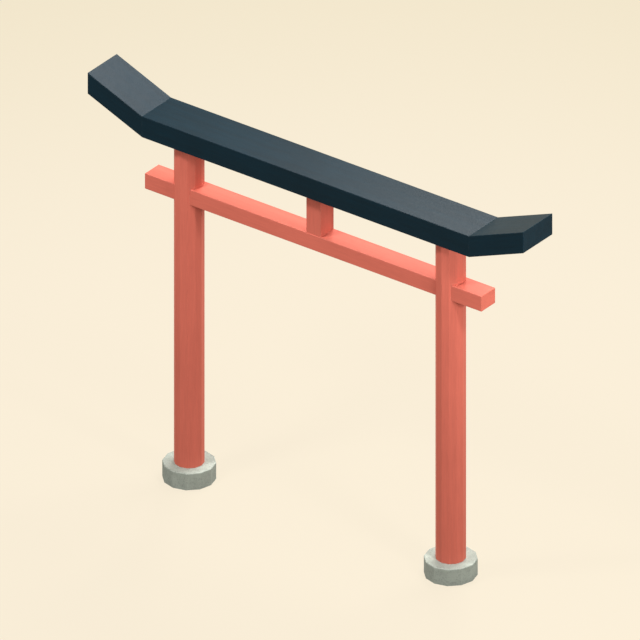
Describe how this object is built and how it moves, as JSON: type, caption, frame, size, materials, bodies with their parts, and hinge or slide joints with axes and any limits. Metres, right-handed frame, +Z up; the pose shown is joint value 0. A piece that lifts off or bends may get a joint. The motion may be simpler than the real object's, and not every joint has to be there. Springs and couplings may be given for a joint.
{
  "type": "torii gate",
  "caption": "Timber torii gate: two upright posts on stone bases, a wedged tie beam, a short centre strut and a lintel whose ends sweep up.",
  "frame": {"origin": "on the ground, midway between the two posts", "axes": "+X along the lintel, from the left post to the right post seen from the approach; +Y away from the approach, through the gate; +Z up"},
  "size_m": [5.296, 0.528, 4.2565],
  "materials": {
    "vermilion_timber": "matte",
    "lintel_timber": "matte",
    "base_stone": "matte"
  },
  "bodies": {
    "root": {"base_stone_left": "base_stone", "base_stone_right": "base_stone", "post_left": "vermilion_timber", "post_right": "vermilion_timber", "tie_beam": "vermilion_timber", "wedge_left_outer": "vermilion_timber", "wedge_left_inner": "vermilion_timber", "wedge_right_inner": "vermilion_timber", "wedge_right_outer": "vermilion_timber", "centre_strut": "vermilion_timber", "lintel_middle": "lintel_timber", "lintel_end_left": "lintel_timber", "lintel_end_right": "lintel_timber"}
  },
  "joints": []
}
